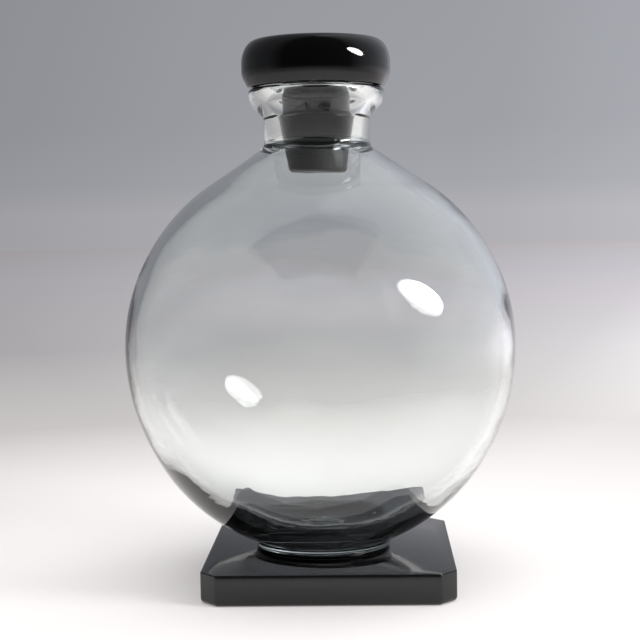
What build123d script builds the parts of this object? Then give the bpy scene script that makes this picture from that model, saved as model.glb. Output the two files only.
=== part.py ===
"""Round blown-glass decanter on a square black glass plinth, with a black glass stopper.

Millimetres, +Z up. The origin is the point on the plinth's underside that lies
straight below the axis of the bulb, the neck and the stopper.
"""
import os
from math import acos, cos, degrees, radians, sin

from build123d import *

# ---- driving dimensions ---------------------------------------------------------------

# plinth: a square slab of black glass with clipped corners
plinth_side = 87.0
plinth_thickness = 10.8
plinth_corner_clip = 5.6
plinth_top_round = 0.4
plinth_bottom_round = 1.8
plinth_offset_x = 2.6  # the bulb was cemented a little off the plinth's centre

# film of clear cement between the foot and the plinth
cement_radius = 23.0
cement_thickness = 0.25

# bulb: every height from here on is measured from the flat of its foot
bulb_radius = 69.8
equator_height = 72.6
lower_depth = 74.0  # the lower half hangs slightly longer than a sphere's
shoulder_angle = 56.5  # latitude where the sphere runs out into a straight shoulder
wall = 3.8
floor_thickness = 5.0
floor_flat_radius = 8.0
foot_radius = 24.4
foot_round = 1.2
pontil_radius = 8.5  # the shallow ground hollow where the pontil rod was broken off
pontil_depth = 1.6

# neck and mouth
neck_radius = 18.8
neck_round = 4.6
flare_start = 154.2
flare_round = 2.0
lip_radius = 24.2
lip_underside = 160.0
lip_underside_round = 4.4
lip_top = 164.6
lip_outer_round = 1.8
lip_inner_radius = 20.6
lip_inner_round = 1.2
bore_round = 4.5  # where the bore opens into the shoulder

# stopper: a tapered plug, a narrower shank and a disc knob, all one piece
plug_bottom = 133.0
plug_bottom_radius = 10.0
plug_bottom_round = 1.5
plug_top = 154.4
plug_top_radius = 13.8
plug_top_round = 0.6
plug_clearance = 0.08  # radial, between the plug and the neck's tapered bore
shank_radius = 12.2
shank_start = 156.0
knob_underside = 164.9
knob_underside_radius = 24.3
knob_underside_round = 0.8
knob_bevel_top = 169.2
knob_bevel_round = 6.4
knob_radius = 26.5
knob_top = 181.5
knob_edge_round = 8.4

# ---- worked-out values ----------------------------------------------------------------

base = plinth_thickness + cement_thickness  # the flat of the foot, above the plinth's underside
equator = base + equator_height
cavity_radius = bulb_radius - wall
cavity_depth = equator_height - floor_thickness
foot_angle = degrees(acos(foot_radius / bulb_radius))
floor_angle = degrees(acos(floor_flat_radius / cavity_radius))
pontil_ball = (pontil_radius**2 + pontil_depth**2) / (2 * pontil_depth)  # radius of the hollow
pontil_angle = degrees(acos(pontil_radius / pontil_ball))
shoulder_cos = cos(radians(shoulder_angle))
shoulder_sin = sin(radians(shoulder_angle))
taper = (plug_top_radius - plug_bottom_radius) / (plug_top - plug_bottom)


def shoulder_height(radius, sphere_radius):
    """Height at which the straight shoulder of a sphere comes in to a radius."""
    return equator + (sphere_radius - radius * shoulder_cos) / shoulder_sin


def bore_radius(height):
    """Radius of the neck's tapered bore at a height above the foot."""
    return plug_top_radius - taper * (plug_top - height) + plug_clearance


def bore_end():
    """Radius and height at which the tapered bore meets the inside of the shoulder."""
    radius_at_foot = bore_radius(0)
    rise = cavity_radius + equator_height * shoulder_sin - radius_at_foot * shoulder_cos
    height = rise / (shoulder_sin + taper * shoulder_cos)
    return bore_radius(height), base + height


# ---- plinth ---------------------------------------------------------------------------

with BuildPart() as plinth:
    with BuildSketch() as outline:
        with Locations((plinth_offset_x, 0)):
            Rectangle(plinth_side, plinth_side)
        chamfer(outline.vertices(), length=plinth_corner_clip)
    extrude(amount=plinth_thickness)
    fillet(plinth.faces().sort_by(Axis.Z)[-1].edges(), radius=plinth_top_round)
    fillet(plinth.faces().sort_by(Axis.Z)[0].edges(), radius=plinth_bottom_round)

# ---- cement ---------------------------------------------------------------------------

with BuildPart() as cement_film:
    with BuildSketch(Plane.XY.offset(plinth_thickness)):
        Circle(cement_radius)
    extrude(amount=cement_thickness)

# ---- bulb: foot, sphere, shoulder, neck and lip, blown in one piece -------------------

with BuildPart() as bulb:
    with BuildSketch(Plane.XZ):
        with BuildLine():
            centre = (0, equator)
            belly = EllipticalCenterArc(
                centre, bulb_radius, lower_depth, start_angle=0, arc_size=-foot_angle
            )
            ball = CenterArc(centre, bulb_radius, 0, shoulder_angle)
            cavity_ball = CenterArc(centre, cavity_radius, shoulder_angle, -shoulder_angle)
            cavity_belly = EllipticalCenterArc(
                centre, cavity_radius, cavity_depth, start_angle=0, arc_size=-floor_angle
            )
            FilletPolyline(
                ball @ 1,
                (neck_radius, shoulder_height(neck_radius, bulb_radius)),
                (neck_radius, base + flare_start),
                (lip_radius, base + lip_underside),
                (lip_radius, base + lip_top),
                (lip_inner_radius, base + lip_top),
                (bore_radius(plug_top), base + plug_top),
                bore_end(),
                cavity_ball @ 0,
                radius=[
                    neck_round,
                    flare_round,
                    lip_underside_round,
                    lip_outer_round,
                    lip_inner_round,
                    plug_top_round,
                    bore_round,
                ],
            )
            hollow_centre = (0, base + pontil_depth - pontil_ball)
            pontil = CenterArc(hollow_centre, pontil_ball, 90, pontil_angle - 90)
            Polyline(cavity_belly @ 1, (0, (cavity_belly @ 1).Y), pontil @ 0)
            FilletPolyline(pontil @ 1, (foot_radius, base), belly @ 1, radius=foot_round)
        make_face()
    revolve(axis=Axis.Z)

# ---- stopper: plug, shank and knob, cast in one piece ---------------------------------

with BuildPart() as stopper:
    with BuildSketch(Plane.XZ):
        with BuildLine():
            FilletPolyline(
                (0, base + plug_bottom),
                (plug_bottom_radius, base + plug_bottom),
                (plug_top_radius, base + plug_top),
                (shank_radius, base + shank_start),
                (shank_radius, base + knob_underside),
                (knob_underside_radius, base + knob_underside),
                (knob_radius, base + knob_bevel_top),
                (knob_radius, base + knob_top),
                (0, base + knob_top),
                radius=[
                    plug_bottom_round,
                    plug_top_round,
                    0,
                    0,
                    knob_underside_round,
                    knob_bevel_round,
                    knob_edge_round,
                ],
            )
            Line((0, base + knob_top), (0, base + plug_bottom))
        make_face()
    revolve(axis=Axis.Z)

# ---- labels and files -----------------------------------------------------------------

plinth.part.label = "plinth"
cement_film.part.label = "cement_film"
bulb.part.label = "bulb"
stopper.part.label = "stopper"

os.makedirs("parts", exist_ok=True)
export_step(plinth.part, "parts/plinth.step")
export_step(cement_film.part, "parts/cement_film.step")
export_step(bulb.part, "parts/bulb.step")
export_step(stopper.part, "parts/stopper.step")

for piece in (plinth, cement_film, bulb, stopper):
    box = piece.part.bounding_box()
    print(f"{piece.part.label}: {box.size.X:.1f} x {box.size.Y:.1f} x {box.size.Z:.1f} mm, "
          f"z {box.min.Z:.2f} to {box.max.Z:.2f}, {piece.part.volume / 1000:.1f} cm3")
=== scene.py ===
# %% [markdown]
# # A round glass decanter on a black plinth
#
# The real thing is four pieces: a clear bulb blown in one piece with its foot, neck and
# lip, a black glass stopper that drops into the neck, a slab of black glass with clipped
# corners, and the film of clear cement that fixes the foot to the slab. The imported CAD
# model is the fixed frame: it says how large each piece is and where it sits. This script
# turns fine meshes around that frame, because a lens this clear shows every facet, and
# gives each mesh the finish of real glass.

# %% The fixed frame
import math

import bmesh
import bpy
from mathutils import Matrix, Vector, noise


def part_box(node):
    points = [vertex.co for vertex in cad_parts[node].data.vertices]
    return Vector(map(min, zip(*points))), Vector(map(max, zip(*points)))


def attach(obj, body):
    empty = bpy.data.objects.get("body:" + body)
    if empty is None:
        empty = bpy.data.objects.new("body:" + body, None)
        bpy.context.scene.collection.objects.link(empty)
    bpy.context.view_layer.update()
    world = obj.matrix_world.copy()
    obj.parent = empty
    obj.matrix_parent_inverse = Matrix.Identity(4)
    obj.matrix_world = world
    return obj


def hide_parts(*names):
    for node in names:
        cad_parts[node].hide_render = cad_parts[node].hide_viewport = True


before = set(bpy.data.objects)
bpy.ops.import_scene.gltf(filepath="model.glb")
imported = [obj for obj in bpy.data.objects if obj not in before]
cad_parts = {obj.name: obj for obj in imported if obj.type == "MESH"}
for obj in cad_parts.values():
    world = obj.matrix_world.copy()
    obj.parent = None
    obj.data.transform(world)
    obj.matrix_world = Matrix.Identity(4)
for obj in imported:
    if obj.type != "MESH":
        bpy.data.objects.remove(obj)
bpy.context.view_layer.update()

MM = 0.001

# %% [markdown]
# ## The camera
#
# A table-top portrait: a moderately long lens, half a metre away, a little below the
# shoulder of the bulb and tipped slightly down, so that the plinth's top shows as a thin
# shape. The camera is made first, because everything after it is judged through it. Its
# turn is built from three axes rather than from Euler angles, because "look this way, tip
# by so much, roll by so much" is then said in that order.

# %% Camera
CAMERA_DISTANCE = 504 * MM
CAMERA_HEIGHT = 132 * MM
CAMERA_TURN = math.radians(1.96)
CAMERA_TIP = math.radians(4.43)
CAMERA_ROLL = math.radians(-0.98)
LENS = 78.9


def camera_matrix():
    """The camera's place and axes: it stands in front, turned, tipped down and rolled."""
    turn = Matrix.Rotation(CAMERA_TURN, 4, "Z")
    stand = Matrix.Translation((0, -CAMERA_DISTANCE, CAMERA_HEIGHT))
    tip = Matrix.Rotation(math.radians(90) - CAMERA_TIP, 4, "X")
    roll = Matrix.Rotation(CAMERA_ROLL, 4, "Z")
    return turn @ stand @ tip @ roll


camera_data = bpy.data.cameras.new("camera")
camera_data.lens = LENS
camera_data.sensor_width = 36
camera_data.clip_start = 0.01
camera = bpy.data.objects.new("camera", camera_data)
bpy.context.scene.collection.objects.link(camera)
camera.matrix_world = camera_matrix()
bpy.context.scene.camera = camera
bpy.context.scene.view_settings.view_transform = "Standard"
print("camera stands at", [round(c, 3) for c in camera.location])

# %% [markdown]
# ## Turning on a lathe
#
# Three of the pieces are round, and the natural way to make them is the one a glass lathe
# or a potter's wheel uses: draw half of the section and turn it round the axis. The wire
# of a section is walked from point to point. Straight runs are edges, large curves are a
# vertex spun round their centre, and a small rounded corner is a vertex bevel. One full
# spin then makes the whole surface.

# %% Lathe helpers
AXIS_Y = (0, 1, 0)
AXIS_Z = (0, 0, 1)
ROUND_STEPS = 192
SAME_POINT = 0.2e-6  # points closer together than this are one point


def start_wire(bm, radius, height):
    """The first point of a section."""
    return bm.verts.new((radius, 0, height))


def line_to(bm, last, radius, height, cuts=0):
    """A straight run from the last point of the wire. Returns the new last point."""
    start, goal = last.co.copy(), Vector((radius, 0, height))
    for step in range(1, cuts + 2):
        point = bm.verts.new(start.lerp(goal, step / (cuts + 1)))
        bm.edges.new((last, point))
        last = point
    return last


def arc_from(bm, last, centre, angle, steps):
    """Spins the last point about a centre (radius, height); a positive angle climbs."""
    middle = (centre[0], 0, centre[1])
    spun = bmesh.ops.spin(bm, geom=[last], cent=middle, axis=AXIS_Y, angle=-angle, steps=steps)
    return spun["geom_last"][0]


def round_corner(bm, corner, radius, segments):
    """Rounds one corner of the wire to a radius."""
    ends = [edge.other_vert(corner).co - corner.co for edge in corner.link_edges]
    turn = math.pi - ends[0].angle(ends[1])
    bmesh.ops.bevel(bm, geom=[corner], offset=radius * math.tan(turn / 2), segments=segments,
                    profile=0.5, affect="VERTICES", material=-1)


def turn_on_lathe(bm, steps=ROUND_STEPS):
    """One full spin of the wire about Z, closed at its seam and at its poles."""
    geometry = bm.verts[:] + bm.edges[:]
    bmesh.ops.spin(bm, geom=geometry, cent=(0, 0, 0), axis=AXIS_Z, angle=math.tau,
                   steps=steps, use_merge=True)
    bmesh.ops.remove_doubles(bm, verts=bm.verts[:], dist=SAME_POINT)
    bmesh.ops.dissolve_degenerate(bm, edges=bm.edges[:], dist=SAME_POINT)
    bmesh.ops.recalc_face_normals(bm, faces=bm.faces[:])


def finished_piece(bm, name, body, node, material):
    """Makes the object, hands it to its body and hides its CAD node."""
    mesh = bpy.data.meshes.new(name)
    bm.to_mesh(mesh)
    bm.free()
    mesh.shade_smooth()
    mesh.materials.append(material)
    piece = bpy.data.objects.new(name, mesh)
    bpy.context.scene.collection.objects.link(piece)
    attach(piece, body)
    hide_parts(node)
    print(name, len(mesh.polygons), "faces")
    return piece


# %% [markdown]
# ## Finishes
#
# A material here is a small chain of nodes on Object coordinates, which sit still on the
# piece in every pose. Small helpers keep the chains short: they make a node and set its
# sockets, make a noise pattern, turn a grey pattern into a chosen range, cut it off above
# or below a limit, and mix or multiply two colours.

# %% Node helpers
def new_material(name):
    """An empty material with an output, and its Object coordinates."""
    material = bpy.data.materials.new(name)
    material.use_nodes = True
    material.node_tree.nodes.clear()
    output = material.node_tree.nodes.new("ShaderNodeOutputMaterial")
    place = material.node_tree.nodes.new("ShaderNodeTexCoord").outputs["Object"]
    return material, output, place


def add_node(owner, kind, settings=None, **sockets):
    """One node. Settings are its own properties, sockets are values or links by name."""
    tree = owner.node_tree
    node = tree.nodes.new("ShaderNode" + kind)
    for key, value in (settings or {}).items():
        setattr(node, key, value)
    for key, value in sockets.items():
        socket = node.inputs[key.replace("_", " ")]
        if isinstance(value, bpy.types.NodeSocket):
            tree.links.new(value, socket)
        else:
            socket.default_value = value
    return node


def stretched(material, place, scale):
    """The coordinates, scaled separately along X, Y and Z."""
    return add_node(material, "Mapping", Vector=place, Scale=scale).outputs["Vector"]


def noise_pattern(material, place, per_metre, detail=2.0, roughness=0.5):
    """Soft grey noise with about this many features in a metre."""
    node = add_node(material, "TexNoise", Vector=place, Scale=per_metre, Detail=detail,
                    Roughness=roughness)
    return node.outputs["Fac"]


def between(owner, grey, low_in, high_in, low_out, high_out):
    """Maps a stretch of a grey pattern to a chosen range, and holds it there."""
    node = add_node(owner, "MapRange", Value=grey)
    for socket, value in zip(node.inputs[1:5], (low_in, high_in, low_out, high_out)):
        socket.default_value = value
    return node.outputs["Result"]


def above(owner, value, limit, blur):
    """White above a limit, and black once it is a blur below the limit."""
    return between(owner, value, limit - blur, limit, 0.0, 1.0)


def below(owner, value, limit, blur, level=1.0):
    """A grey level below a limit, and black once it is a blur above the limit."""
    return between(owner, value, limit, limit + blur, level, 0.0)


def opposite(owner, grey):
    """White where a grey is black, and black where it is white."""
    return between(owner, grey, 0.0, 1.0, 1.0, 0.0)


def times(owner, first, second):
    """Two greys or colours, multiplied."""
    return add_node(owner, "MixRGB", {"blend_type": "MULTIPLY"}, Fac=1.0, Color1=first,
                    Color2=second).outputs[0]


def mixed(owner, mask, first, second):
    """The first colour where a mask is black, and the second where it is white."""
    return add_node(owner, "MixRGB", Fac=mask, Color1=first, Color2=second).outputs[0]


def worked_out(owner, operation, first, second):
    """One sum on two values."""
    node = add_node(owner, "Math", {"operation": operation})
    owner.node_tree.links.new(first, node.inputs[0])
    owner.node_tree.links.new(second, node.inputs[1])
    return node.outputs[0]


def length_of(owner, vector):
    """How long a vector is."""
    node = add_node(owner, "VectorMath", {"operation": "LENGTH"})
    owner.node_tree.links.new(vector, node.inputs[0])
    return node.outputs["Value"]


def bumped(material, grey, distance, normal=None):
    """A bump of this depth in metres, on top of an earlier one if there is one."""
    node = add_node(material, "Bump", Height=grey, Distance=distance, Strength=1.0)
    if normal is not None:
        material.node_tree.links.new(normal, node.inputs["Normal"])
    return node.outputs["Normal"]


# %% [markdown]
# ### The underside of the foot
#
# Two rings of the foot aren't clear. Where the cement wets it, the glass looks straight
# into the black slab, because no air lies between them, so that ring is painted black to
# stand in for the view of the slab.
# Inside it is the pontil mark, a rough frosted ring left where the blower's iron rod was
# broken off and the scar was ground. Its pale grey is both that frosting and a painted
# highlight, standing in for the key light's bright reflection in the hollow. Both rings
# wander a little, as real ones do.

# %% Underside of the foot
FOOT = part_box("bulb")[0].z
CEMENTED_FROM, CEMENTED_TO = 9.0 * MM, 24.6 * MM  # radii of the cemented ring
CEMENTED_HEIGHT = 1.2 * MM  # how far it reaches up the rounded edge
CEMENTED_BLUR = 0.2 * MM
GROUND_FROM, GROUND_TO = 6.4 * MM, 8.0 * MM  # radii of the pontil mark
GROUND_HEIGHT = 2.0 * MM
GROUND_BLUR = 0.8 * MM
GROUND_STRENGTH = 0.8
RING_WANDER = 1.6 * MM


def underside(material, place):
    """Two masks: the cemented ring, painted black, and the ground pontil ring, painted pale as a
    highlight.
    """
    radius = length_of(material, stretched(material, place, (1, 1, 0)))
    height = add_node(material, "SeparateXYZ", Vector=place).outputs["Z"]
    ragged = noise_pattern(material, place, per_metre=260, detail=3.0)
    shift = between(material, ragged, 0.3, 0.7, -RING_WANDER, RING_WANDER)
    wandering = worked_out(material, "ADD", radius, shift)
    # The wetted ring, painted black to stand in for the view into the black slab.
    ring = times(material, above(material, wandering, CEMENTED_FROM, CEMENTED_BLUR),
                 below(material, radius, CEMENTED_TO, CEMENTED_BLUR))
    low = below(material, height, FOOT + CEMENTED_HEIGHT, CEMENTED_BLUR / 2)
    wetted_painted_black = times(material, ring, low)
    # The pontil ring: ground frosting, and a painted highlight in its pale grey.
    ring = times(material, above(material, wandering, GROUND_FROM, GROUND_BLUR),
                 below(material, wandering, GROUND_TO, GROUND_BLUR))
    low = below(material, height, FOOT + GROUND_HEIGHT, GROUND_BLUR / 4, GROUND_STRENGTH)
    return wetted_painted_black, times(material, ring, low)


# %% [markdown]
# ### Clear blown glass
#
# Clear glass is mostly what is seen through it, so its own finish is quiet: a trace of
# green that builds up along the long paths near the edges, which a Volume Absorption
# gives, faint cords drawn round the bulb by the blowpipe, and a few smears of handling
# that dull the polish.

# %% Clear glass
GLASS_IOR = 1.5
CLEAN_GLASS = (0.985, 0.995, 0.99, 1)
# Painted black of the wetted ring, standing in for the view into the black slab.
PAINTED_SLAB_BLACK = (0.004, 0.004, 0.004, 1)
# Pale grey of the pontil ring: its frosting, and a painted highlight.
FROSTED_AND_HIGHLIGHT_GREY = (0.42, 0.46, 0.48, 1)
TRACE_OF_GREEN = (0.72, 0.93, 0.86, 1)
CORD_DEPTH = 0.06 * MM
RIPPLE_DEPTH = 0.006 * MM
SMEAR_ROUGHNESS = 0.05


def clear_glass():
    material, output, place = new_material("clear_blown_glass")
    wetted_painted_black, ground = underside(material, place)
    # Neither ring lets light through; the wetted ring is painted black for the slab seen through
    # it.
    clear = times(material, opposite(material, wetted_painted_black), opposite(material, ground))
    colour = mixed(material, wetted_painted_black, CLEAN_GLASS, PAINTED_SLAB_BLACK)
    # The pontil ring is painted pale grey: frosting, and a painted highlight.
    colour = mixed(material, ground, colour, FROSTED_AND_HIGHLIGHT_GREY)
    cords = noise_pattern(material, stretched(material, place, (1, 1, 3)), per_metre=45)
    ripples = noise_pattern(material, place, per_metre=180, detail=1.0)
    smears = noise_pattern(material, stretched(material, place, (1, 1, 0.4)), per_metre=60,
                           detail=5.0, roughness=0.6)
    normal = bumped(material, cords, CORD_DEPTH)
    normal = bumped(material, ripples, RIPPLE_DEPTH, normal)
    dulled = between(material, smears, 0.5, 0.75, 0.0, SMEAR_ROUGHNESS)
    glass = add_node(material, "BsdfPrincipled", Base_Color=colour, Transmission_Weight=clear,
                     IOR=GLASS_IOR, Roughness=dulled, Normal=normal)
    tint = add_node(material, "VolumeAbsorption", Color=TRACE_OF_GREEN, Density=9.0)
    material.node_tree.links.new(glass.outputs[0], output.inputs["Surface"])
    material.node_tree.links.new(tint.outputs[0], output.inputs["Volume"])
    return material


GLASS = clear_glass()
print("finish", GLASS.name)

# %% [markdown]
# ### Black glass
#
# Black glass is a deep polished black whose whole look is its reflection. It was pressed
# and then polished, so the surface has a very shallow orange peel, hairline scratches from
# being slid about, dust that dulls it a little, and a slightly greyer edge where it is
# knocked. The lower end of the plug is ground instead, and shows pale and rough.

# %% Black glass
SEAT_END = FOOT + 141 * MM  # the plug is ground below this height
SEAT_END_BLUR = 0.4 * MM
PEEL_DEPTH = 0.012 * MM
WORN_BLACK = (0.009, 0.009, 0.0095, 1)
GROUND_ROUGHNESS = (0.45, 0.45, 0.45, 1)


def black_glass(name, black, scratch_depth, dulled, ground_below=None):
    material, output, place = new_material(name)
    peel = noise_pattern(material, place, per_metre=140)
    streaks = noise_pattern(material, stretched(material, place, (1, 14, 1)), per_metre=160,
                            detail=4.0, roughness=0.65)
    dust = noise_pattern(material, place, per_metre=900, detail=3.0, roughness=0.7)
    scratches = between(material, streaks, 0.6, 0.66, 0.0, 1.0)
    normal = bumped(material, peel, PEEL_DEPTH)
    normal = bumped(material, scratches, scratch_depth, normal)
    polish = between(material, dust, 0.35, 0.8, 0.012, dulled)
    edge = add_node(material, "NewGeometry").outputs["Pointiness"]
    worn = between(material, edge, 0.52, 0.62, 0.0, 1.0)
    colour = mixed(material, worn, (black, black, black * 1.1, 1), WORN_BLACK)
    if ground_below is not None:
        height = add_node(material, "SeparateXYZ", Vector=place).outputs["Z"]
        ground = below(material, height, ground_below - SEAT_END_BLUR, SEAT_END_BLUR)
        specks = noise_pattern(material, place, per_metre=2500)
        grit = between(material, specks, 0.3, 0.7, 0.07, 0.12)
        colour = mixed(material, ground, colour, grit)
        polish = mixed(material, ground, polish, GROUND_ROUGHNESS)
    glass = add_node(material, "BsdfPrincipled", Base_Color=colour, IOR=GLASS_IOR,
                     Roughness=polish, Normal=normal)
    material.node_tree.links.new(glass.outputs[0], output.inputs["Surface"])
    return material


PLINTH_GLASS = black_glass("black_plinth_glass", black=0.004, scratch_depth=0.004 * MM,
                           dulled=0.1)
STOPPER_GLASS = black_glass("black_stopper_glass", black=0.001, scratch_depth=0.0015 * MM,
                            dulled=0.05, ground_below=SEAT_END)
print("finishes", PLINTH_GLASS.name, STOPPER_GLASS.name)

# %% [markdown]
# ### Clear cement
#
# The cement is a clear resin, a little yellow. The small bubbles caught in it are the
# cells of a Voronoi pattern, pressed in as a bump.

# %% Cement finish
BUBBLE_DEPTH = 0.05 * MM


def clear_cement():
    material, output, place = new_material("clear_cement")
    cells = add_node(material, "TexVoronoi", Vector=place, Scale=700).outputs["Distance"]
    bubbles = between(material, cells, 0.0, 0.35, 0.0, 1.0)
    resin = add_node(material, "BsdfPrincipled", Base_Color=(0.9, 0.9, 0.86, 1),
                     Transmission_Weight=0.9, IOR=1.48, Roughness=0.15,
                     Normal=bumped(material, bubbles, BUBBLE_DEPTH))
    material.node_tree.links.new(resin.outputs[0], output.inputs["Surface"])
    return material


CEMENT = clear_cement()
print("finish", CEMENT.name)

# %% [markdown]
# ## The bulb
#
# One closed surface, drawn in three runs: from the equator up the outside, over the lip
# and down the bore, then down the inside to the thick floor, and last from the equator
# down the outside to the foot. The belly hangs a little longer than a true sphere, so its
# arc is spun round and then stretched downwards. The neck's bore is a taper that the plug
# fills, and the underside of the foot keeps the shallow ground hollow of the pontil rod.

# %% Sizes of the bulb and of the plug that fits it
bulb_low, bulb_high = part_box("bulb")
LIP_TOP = bulb_high.z
BULB_RADIUS = (bulb_high.x - bulb_low.x) / 2
EQUATOR = FOOT + 72.6 * MM
BELLY_DEPTH = 74.0 * MM
WALL = 3.8 * MM
FLOOR = 5.0 * MM
FLOOR_FLAT_RADIUS = 8.0 * MM
FOOT_RADIUS = 24.4 * MM
FOOT_ROUND = 1.2 * MM
PONTIL_RADIUS = 8.5 * MM
PONTIL_DEPTH = 1.6 * MM
SHOULDER = math.radians(56.5)
NECK_RADIUS = 18.8 * MM
NECK_ROUND = 4.6 * MM
FLARE_START = FOOT + 154.2 * MM
FLARE_ROUND = 2.0 * MM
LIP_RADIUS = 24.2 * MM
LIP_UNDERSIDE = FOOT + 160.0 * MM
LIP_UNDERSIDE_ROUND = 4.4 * MM
LIP_OUTER_ROUND = 1.8 * MM
LIP_INNER_RADIUS = 20.6 * MM
LIP_INNER_ROUND = 1.2 * MM
PLUG_TOP = FOOT + 154.4 * MM
PLUG_TOP_RADIUS = 13.8 * MM
PLUG_TOP_ROUND = 0.6 * MM
PLUG_BOTTOM = FOOT + 133.0 * MM
PLUG_BOTTOM_RADIUS = 10.0 * MM
PLUG_CLEARANCE = 0.08 * MM
BORE_ROUND = 4.5 * MM
TAPER = (PLUG_TOP_RADIUS - PLUG_BOTTOM_RADIUS) / (PLUG_TOP - PLUG_BOTTOM)
print("bulb radius", round(BULB_RADIUS / MM, 2), "mm, lip at", round(LIP_TOP / MM, 2), "mm")

# %% Section of the bulb
BALL_STEPS = 44
CAVITY_STEPS = 60
BELLY_STEPS = 52
PONTIL_STEPS = 10


def shoulder_height(radius, sphere_radius):
    """Height at which the straight shoulder of a sphere comes in to a radius."""
    return EQUATOR + (sphere_radius - radius * math.cos(SHOULDER)) / math.sin(SHOULDER)


def bore_radius(height):
    """Radius of the neck's tapered bore at a height."""
    return PLUG_TOP_RADIUS - TAPER * (PLUG_TOP - height) + PLUG_CLEARANCE


def bore_end():
    """Where the tapered bore meets the inside of the shoulder."""
    cavity = BULB_RADIUS - WALL
    rise = cavity + EQUATOR * math.sin(SHOULDER) - bore_radius(0) * math.cos(SHOULDER)
    height = rise / (math.sin(SHOULDER) + TAPER * math.cos(SHOULDER))
    return bore_radius(height), height


def ball_arc(bm, last, radius, depth, to_angle, steps):
    """Half of a ball's section below the equator, stretched to its depth."""
    before = set(bm.verts)
    end = arc_from(bm, last, (0, EQUATOR), to_angle, steps)
    new = [v for v in bm.verts if v not in before]
    bmesh.ops.scale(bm, verts=new, vec=(1, 1, depth / radius),
                    space=Matrix.Translation((0, 0, -EQUATOR)))
    return end


def bulb_section(bm):
    cavity = BULB_RADIUS - WALL
    cavity_depth = EQUATOR - FOOT - FLOOR
    foot_angle = math.acos(FOOT_RADIUS / BULB_RADIUS)
    floor_angle = math.acos(FLOOR_FLAT_RADIUS / cavity)

    # the outside, upwards from the equator, and down the bore
    equator = start_wire(bm, BULB_RADIUS, EQUATOR)
    ball_end = arc_from(bm, equator, (0, EQUATOR), SHOULDER, BALL_STEPS)
    neck_foot = line_to(bm, ball_end, NECK_RADIUS, shoulder_height(NECK_RADIUS, BULB_RADIUS), 10)
    flare = line_to(bm, neck_foot, NECK_RADIUS, FLARE_START, 4)
    lip_under = line_to(bm, flare, LIP_RADIUS, LIP_UNDERSIDE, 2)
    lip_outer = line_to(bm, lip_under, LIP_RADIUS, LIP_TOP)
    lip_inner = line_to(bm, lip_outer, LIP_INNER_RADIUS, LIP_TOP)
    bore_top = line_to(bm, lip_inner, bore_radius(PLUG_TOP), PLUG_TOP, 4)
    bore_bottom = line_to(bm, bore_top, *bore_end(), 4)
    inner_radius = cavity * math.cos(SHOULDER)
    cavity_top = line_to(bm, bore_bottom, inner_radius, shoulder_height(inner_radius, cavity), 8)

    # the inside, down to the floor
    inner_equator = arc_from(bm, cavity_top, (0, EQUATOR), -SHOULDER, BALL_STEPS)
    floor_edge = ball_arc(bm, inner_equator, cavity, cavity_depth, -floor_angle, CAVITY_STEPS)
    line_to(bm, floor_edge, 0, floor_edge.co.z, 2)

    # the outside, downwards from the equator, and in under the foot
    foot_top = ball_arc(bm, equator, BULB_RADIUS, BELLY_DEPTH, -foot_angle, BELLY_STEPS)
    foot_edge = line_to(bm, foot_top, FOOT_RADIUS, FOOT)
    hollow_edge = line_to(bm, foot_edge, PONTIL_RADIUS, FOOT, 3)
    pontil_ball = (PONTIL_RADIUS ** 2 + PONTIL_DEPTH ** 2) / (2 * PONTIL_DEPTH)
    hollow_centre = (0, FOOT + PONTIL_DEPTH - pontil_ball)
    arc_from(bm, hollow_edge, hollow_centre, math.asin(PONTIL_RADIUS / pontil_ball), PONTIL_STEPS)

    # the rounded corners: the point, its radius and its segments
    for corner, radius, segments in (
            (neck_foot, NECK_ROUND, 8), (flare, FLARE_ROUND, 5),
            (lip_under, LIP_UNDERSIDE_ROUND, 8), (lip_outer, LIP_OUTER_ROUND, 6),
            (lip_inner, LIP_INNER_ROUND, 6), (bore_top, PLUG_TOP_ROUND, 3),
            (bore_bottom, BORE_ROUND, 8), (foot_edge, FOOT_ROUND, 6)):
        round_corner(bm, corner, radius, segments)


# %% [markdown]
# Nothing blown by hand is quite round. Every point of the bulb is moved along its normal by
# a slow wave and a quick, much shallower one. The foot and the bore stay true, because the
# plinth and the plug have to fit them.

# %% The bulb
TRUE_AT_FOOT = 3 * MM
FADE_AT_FOOT = 12 * MM
FADE_AT_BORE = 10 * MM
SLOW_WAVES, SLOW_DEPTH = 28, 0.22 * MM  # waves in a metre, and their depth
QUICK_WAVES, QUICK_DEPTH = 75, 0.05 * MM


def held(value):
    """A value held between 0 and 1."""
    return min(1.0, max(0.0, value))


def hand_blown(bm):
    """Lets the walls wander as hand-blown walls do, and leaves the bore and foot true."""
    bore_bottom = bore_end()[1]
    bm.normal_update()
    for vert in bm.verts:
        height = vert.co.z
        above_foot = held((height - FOOT - TRUE_AT_FOOT) / FADE_AT_FOOT)
        below_bore = held((bore_bottom - height) / FADE_AT_BORE)
        outside_neck = vert.co.xy.length > NECK_RADIUS * 0.95 and height > bore_bottom
        free = above_foot * (1.0 if outside_neck else below_bore)
        wave = noise.noise(vert.co * SLOW_WAVES) * SLOW_DEPTH
        wave += noise.noise(vert.co * QUICK_WAVES) * QUICK_DEPTH
        vert.co += vert.normal * wave * free


bulb_mesh = bmesh.new()
bulb_section(bulb_mesh)
turn_on_lathe(bulb_mesh)
hand_blown(bulb_mesh)
bulb = finished_piece(bulb_mesh, "blown_bulb", "decanter", "bulb", GLASS)

# %% [markdown]
# ## The stopper
#
# Solid black glass: a tapered plug that seats in the bore, a narrower shank, and a disc
# knob whose side leans in towards the lip below and rolls over into a flat crown above.

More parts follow.
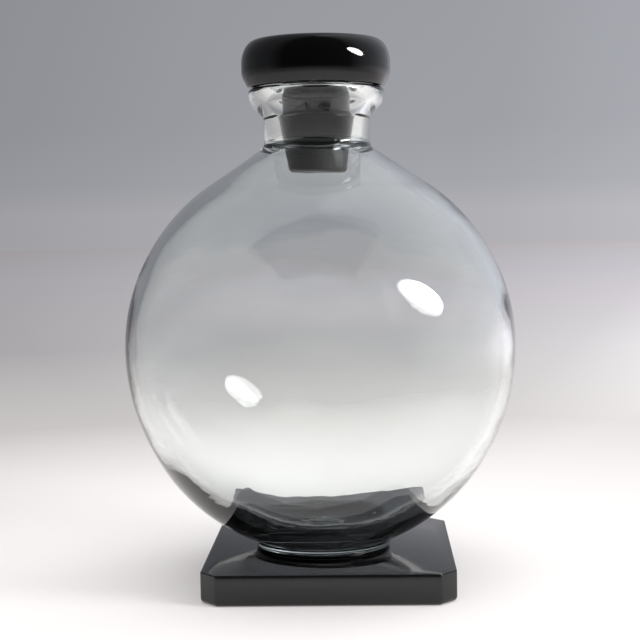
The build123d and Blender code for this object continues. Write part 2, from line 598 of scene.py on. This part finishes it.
# %% The stopper
stopper_low, stopper_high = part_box("stopper")
KNOB_RADIUS = (stopper_high.x - stopper_low.x) / 2
KNOB_TOP = stopper_high.z
KNOB_EDGE_ROUND = 8.4 * MM
KNOB_BEVEL_TOP = FOOT + 169.2 * MM
KNOB_BEVEL_ROUND = 6.4 * MM
KNOB_UNDERSIDE = FOOT + 164.9 * MM
KNOB_UNDERSIDE_RADIUS = 24.3 * MM
KNOB_UNDERSIDE_ROUND = 0.8 * MM
SHANK_START = FOOT + 156.0 * MM
SHANK_RADIUS = 12.2 * MM
PLUG_BOTTOM_ROUND = 1.5 * MM


def stopper_section(bm):
    start = start_wire(bm, 0, stopper_low.z)
    plug_bottom = line_to(bm, start, PLUG_BOTTOM_RADIUS, stopper_low.z, 2)
    plug_top = line_to(bm, plug_bottom, PLUG_TOP_RADIUS, PLUG_TOP, 4)
    shank_low = line_to(bm, plug_top, SHANK_RADIUS, SHANK_START)
    shank_high = line_to(bm, shank_low, SHANK_RADIUS, KNOB_UNDERSIDE, 1)
    knob_under = line_to(bm, shank_high, KNOB_UNDERSIDE_RADIUS, KNOB_UNDERSIDE, 2)
    bevel_top = line_to(bm, knob_under, KNOB_RADIUS, KNOB_BEVEL_TOP)
    rim = line_to(bm, bevel_top, KNOB_RADIUS, KNOB_TOP)
    line_to(bm, rim, 0, KNOB_TOP, 4)
    for corner, radius, segments in (
            (plug_bottom, PLUG_BOTTOM_ROUND, 6), (plug_top, PLUG_TOP_ROUND, 3),
            (knob_under, KNOB_UNDERSIDE_ROUND, 5), (bevel_top, KNOB_BEVEL_ROUND, 10),
            (rim, KNOB_EDGE_ROUND, 16)):
        round_corner(bm, corner, radius, segments)


stopper_mesh = bmesh.new()
stopper_section(stopper_mesh)
turn_on_lathe(stopper_mesh)
stopper = finished_piece(stopper_mesh, "black_stopper", "stopper", "stopper",
                         STOPPER_GLASS)

# %% [markdown]
# ## The plinth
#
# A slab of pressed black glass. It starts as a cube scaled to the slab. A bevel of one
# segment on the four upright edges clips the corners, and a small one softens the eight
# upright edges that leaves. The top rim stays nearly sharp and the bottom rim is rounder.

# %% The plinth
plinth_low, plinth_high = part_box("plinth")
PLINTH_SIZE = plinth_high - plinth_low
PLINTH_CENTRE = (plinth_high + plinth_low) / 2
CORNER_CLIP = 5.6 * MM
CORNER_ROUND = 0.5 * MM
TOP_ROUND = 0.4 * MM
BOTTOM_ROUND = 1.8 * MM


def rim_edges(bm, height):
    """The edges that lie in a level plane at a height."""
    return [e for e in bm.edges if all(abs(v.co.z - height) < 0.01 * MM for v in e.verts)]


def upright_edges(bm):
    """The edges that stand up along the sides."""
    return [e for e in bm.edges if abs(e.verts[0].co.z - e.verts[1].co.z) > 1 * MM]


def cut_back(bm, edges, width, segments):
    """Bevels edges by a width. One segment is a flat, and more make it round."""
    bmesh.ops.bevel(bm, geom=edges, offset=width, segments=segments, profile=0.5,
                    affect="EDGES", material=-1)


plinth_mesh = bmesh.new()
slab = Matrix.Translation(PLINTH_CENTRE) @ Matrix.Diagonal((*PLINTH_SIZE, 1))
bmesh.ops.create_cube(plinth_mesh, size=1.0, matrix=slab)
cut_back(plinth_mesh, upright_edges(plinth_mesh), CORNER_CLIP, 1)
cut_back(plinth_mesh, upright_edges(plinth_mesh), CORNER_ROUND, 3)
cut_back(plinth_mesh, rim_edges(plinth_mesh, plinth_high.z), TOP_ROUND, 3)
cut_back(plinth_mesh, rim_edges(plinth_mesh, plinth_low.z), BOTTOM_ROUND, 5)
plinth = finished_piece(plinth_mesh, "black_plinth", "decanter", "plinth",
                        PLINTH_GLASS)

# %% [markdown]
# ## The cement
#
# A thin disc between the foot and the slab. A hair's breadth of air is left above and
# below it, so that its faces don't lie in the faces of the glass.

# %% The cement
cement_low, cement_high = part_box("cement_film")
CEMENT_RADIUS = (cement_high.x - cement_low.x) / 2
CEMENT_GAP = 0.02 * MM
cement_top = cement_high.z - CEMENT_GAP
cement_bottom = cement_low.z + CEMENT_GAP
cement_mesh = bmesh.new()
middle = start_wire(cement_mesh, 0, cement_top)
upper_edge = line_to(cement_mesh, middle, CEMENT_RADIUS, cement_top, 3)
lower_edge = line_to(cement_mesh, upper_edge, CEMENT_RADIUS, cement_bottom)
line_to(cement_mesh, lower_edge, 0, cement_bottom, 3)
turn_on_lathe(cement_mesh)
cement = finished_piece(cement_mesh, "cement_layer", "decanter", "cement_film",
                        CEMENT)

# %% [markdown]
# ## Stage and light
#
# Clear glass has no look of its own: it shows what stands behind it, and black glass shows
# only what it mirrors. So it is the stage that is lit. It is a pale floor and a pale
# backdrop, which every ray sees alike. Both are graded: brightest behind on the right, and
# dim on the camera's side, which keeps the black glass black.

# %% Stage helpers
def graded(owner, value, low, high, stops):
    """Colours along a value: stops are (value, colour)."""
    place = between(owner, value, low, high, 0.0, 1.0)
    ramp = add_node(owner, "ValToRGB", Fac=place)
    elements = ramp.color_ramp.elements
    while len(elements) < len(stops):
        elements.new(0.5)
    for element, (where, colour) in zip(elements, stops):
        element.position = (where - low) / (high - low)
        element.color = (*colour, 1)
    return ramp.outputs["Color"]


def greys(*stops):
    """Stops of plain grey, from (value, grey)."""
    return [(where, (grey, grey, grey)) for where, grey in stops]


def compass(owner, vector):
    """The bearing of a vector in degrees: 0 is behind, 90 is to the right."""
    parts = add_node(owner, "SeparateXYZ", Vector=vector)
    angle = worked_out(owner, "ARCTAN2", parts.outputs["X"], parts.outputs["Y"])
    return between(owner, angle, -math.pi, math.pi, -180, 180)


def around(owner, vector, stops):
    """A grey that depends on the bearing."""
    return graded(owner, compass(owner, vector), -180, 180, greys(*stops))


# bearing in degrees, and how bright the stage is there
STAGE_SIDES = ((-180, 0.08), (-130, 0.1), (-105, 0.42), (-60, 0.46), (-20, 0.57), (-5, 0.74),
               (5, 0.78), (14, 0.95), (25, 1.4), (60, 1.5), (95, 0.9), (125, 0.12), (180, 0.08))

# %% [markdown]
# ### Floor
#
# Near the plinth the floor is mostly a pale matt sheet, which takes the object's shadow.
# Further out it becomes a soft glow that fades with distance and follows the bearings
# above.

# %% Floor
STAGE_RADIUS = 5.0
FLOOR_GAP = 0.05 * MM
PAPER = (0.78, 0.76, 0.75, 1)
NEAR_GLOW = (0.79, 0.79, 0.79, 1)
FLOOR_GLOW = ((0.0, (0.89, 0.85, 0.83)), (0.3, (0.85, 0.81, 0.8)), (0.47, (0.81, 0.78, 0.78)),
              (0.9, (0.72, 0.7, 0.72)), (1.6, (0.68, 0.65, 0.69)), (2.7, (0.62, 0.6, 0.65)),
              (5.0, (0.57, 0.54, 0.56)))  # distance in metres, and colour


def stage_floor():
    material, output, place = new_material("floor")
    distance = length_of(material, place)
    backdrop = graded(material, distance, 0, STAGE_RADIUS, FLOOR_GLOW)
    sides = mixed(material, between(material, distance, 0.15, 0.9, 0.0, 1.0), NEAR_GLOW,
                  around(material, place, STAGE_SIDES))
    glow = add_node(material, "Emission", Color=times(material, backdrop, sides), Strength=1.0)
    paper = add_node(material, "BsdfDiffuse", Color=PAPER)
    blend = add_node(material, "MixShader", Fac=between(material, distance, 0.08, 0.4, 0.4, 1.0))
    material.node_tree.links.new(paper.outputs[0], blend.inputs[1])
    material.node_tree.links.new(glow.outputs[0], blend.inputs[2])
    material.node_tree.links.new(blend.outputs[0], output.inputs["Surface"])
    return material


floor_mesh = bmesh.new()
bmesh.ops.create_circle(floor_mesh, cap_ends=True, segments=96, radius=STAGE_RADIUS)
floor_data = bpy.data.meshes.new("floor")
floor_mesh.to_mesh(floor_data)
floor_mesh.free()
floor_data.materials.append(stage_floor())
floor = bpy.data.objects.new("floor", floor_data)
bpy.context.scene.collection.objects.link(floor)
floor.location.z = plinth_low.z - FLOOR_GAP
print("floor under the plinth at", round(floor.location.z / MM, 2), "mm")

# %% [markdown]
# ### World
#
# The backdrop stands all round, as a world. It is a cool grey that is lightest along the
# floor, and it follows the same bearings.

# %% World
WORLD_GLOW = ((0.0, (0.56, 0.55, 0.58)), (0.02, (0.48, 0.49, 0.53)), (0.06, (0.44, 0.45, 0.49)),
              (0.3, (0.4, 0.41, 0.45)), (0.7, (0.45, 0.46, 0.49)), (1.0, (0.5, 0.51, 0.54)))


def studio_world():
    world = bpy.data.worlds.new("studio")
    world.use_nodes = True
    world.node_tree.nodes.clear()
    output = world.node_tree.nodes.new("ShaderNodeOutputWorld")
    direction = add_node(world, "TexCoord").outputs["Generated"]
    height = add_node(world, "SeparateXYZ", Vector=direction).outputs["Z"]
    fade = graded(world, height, 0, 1, WORLD_GLOW)
    soft = times(world, fade, around(world, direction, STAGE_SIDES))
    light = add_node(world, "Background", Color=soft, Strength=1.0)
    world.node_tree.links.new(light.outputs[0], output.inputs["Surface"])
    return world


bpy.context.scene.world = studio_world()
print("world", bpy.context.scene.world.name)

# %% [markdown]
# ### Lights
#
# Two soft lights. A wide one overhead only fills: it is hidden from mirrored rays and from
# rays that have passed through glass, because a white panel that large would show in every
# piece. An oval one, high in front on the right, is the key light. It shows twice in the
# bulb, once in the near wall and once upside down in the far one.

# %% Lights
BULB_MIDDLE = Vector((0, 0, EQUATOR))


def softbox(name, direction, distance, size, watts, shape="RECTANGLE", roll=0):
    """An area light that looks at the middle of the bulb. The roll is in degrees."""
    light = bpy.data.lights.new(name, "AREA")
    light.shape = shape
    light.size, light.size_y = size
    light.energy = watts
    lamp = bpy.data.objects.new(name, light)
    bpy.context.scene.collection.objects.link(lamp)
    place = BULB_MIDDLE + Vector(direction).normalized() * distance
    aim = (BULB_MIDDLE - place).to_track_quat("-Z", "Y").to_matrix().to_4x4()
    turn = Matrix.Rotation(math.radians(roll), 4, "Z")
    lamp.matrix_world = Matrix.Translation(place) @ aim @ turn
    return lamp


def bearing(degrees_right, degrees_up):
    """A direction from the bulb: degrees to the right of the front, and degrees up."""
    right, up = math.radians(degrees_right), math.radians(degrees_up)
    return Vector((math.sin(right) * math.cos(up), -math.cos(right) * math.cos(up), math.sin(up)))


overhead = softbox("overhead", (0, -0.1, 1), distance=1.6, size=(2.4, 2.4), watts=60)
overhead.visible_glossy = False
overhead.visible_transmission = False
key = softbox("key_light", bearing(67, 25), distance=1.0, size=(0.22, 0.48), watts=9,
              shape="ELLIPSE", roll=52)
print("lights", overhead.name, key.name)
